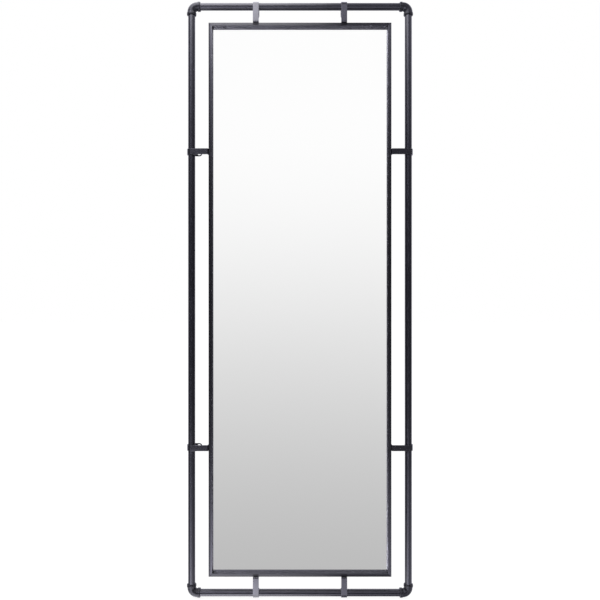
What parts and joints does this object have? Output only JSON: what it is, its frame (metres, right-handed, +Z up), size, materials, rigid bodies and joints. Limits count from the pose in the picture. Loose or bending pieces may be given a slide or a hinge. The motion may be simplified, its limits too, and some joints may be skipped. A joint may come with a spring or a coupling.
{
  "type": "leaning floor mirror",
  "caption": "Full-length mirror in a slim steel frame, strapped inside a larger rectangle of round pipe with cast corner elbows. Leans on a wall or hangs by its eyes.",
  "frame": {"origin": "on the floor, under the middle of the upright object's box", "axes": "+Z up along the mirror's height, -Y the way the glass faces, +X to the viewer's right"},
  "size_m": [0.6176, 0.0288, 1.6266],
  "materials": {
    "pipe": "satin gunmetal lacquer on steel pipe, slightly bluish",
    "elbow": "satin gunmetal lacquer on a cast elbow, slightly pebbled",
    "mirror_frame": "satin gunmetal lacquer on a rolled steel section",
    "strap": "satin gunmetal lacquer on bent steel strip",
    "black_screw": "black oxide",
    "mirror_glass": "clear silvered glass, polished",
    "board": "plain brown hardboard, matte",
    "clip": "zinc plated, dull",
    "zinc_screw": "zinc plated, semi-bright"
  },
  "bodies": {
    "root": {"pipe_top": "pipe", "pipe_bottom": "pipe", "pipe_left": "pipe", "pipe_right": "pipe", "elbow_top_left": "elbow", "elbow_top_right": "elbow", "elbow_bottom_left": "elbow", "elbow_bottom_right": "elbow", "set_screw_top_left_across": "black_screw", "set_screw_top_left_upright": "black_screw", "set_screw_top_right_across": "black_screw", "set_screw_top_right_upright": "black_screw", "set_screw_bottom_left_across": "black_screw", "set_screw_bottom_left_upright": "black_screw", "set_screw_bottom_right_across": "black_screw", "set_screw_bottom_right_upright": "black_screw", "frame_rail_top": "mirror_frame", "frame_rail_bottom": "mirror_frame", "frame_stile_left": "mirror_frame", "frame_stile_right": "mirror_frame", "mirror_glass": "mirror_glass", "backing_board": "board", "strap_top_left": "strap", "strap_top_right": "strap", "strap_bottom_left": "strap", "strap_bottom_right": "strap", "strap_left_upper": "strap", "strap_left_lower": "strap", "strap_right_upper": "strap", "strap_right_lower": "strap", "pipe_screw_top_left": "black_screw", "pipe_screw_top_right": "black_screw", "pipe_screw_bottom_left": "black_screw", "pipe_screw_bottom_right": "black_screw", "pipe_screw_left_upper": "black_screw", "pipe_screw_left_lower": "black_screw", "pipe_screw_right_upper": "black_screw", "pipe_screw_right_lower": "black_screw", "frame_screw_top_left": "black_screw", "frame_screw_top_right": "black_screw", "frame_screw_bottom_left": "black_screw", "frame_screw_bottom_right": "black_screw", "frame_screw_left_upper": "black_screw", "frame_screw_left_lower": "black_screw", "frame_screw_right_upper": "black_screw", "frame_screw_right_lower": "black_screw", "clip_top": "clip", "clip_bottom": "clip", "clip_left_upper": "clip", "clip_left_lower": "clip", "clip_right_upper": "clip", "clip_right_lower": "clip", "clip_screw_top": "zinc_screw", "clip_screw_bottom": "zinc_screw", "clip_screw_left_upper": "zinc_screw", "clip_screw_left_lower": "zinc_screw", "clip_screw_right_upper": "zinc_screw", "clip_screw_right_lower": "zinc_screw"}
  },
  "joints": []
}
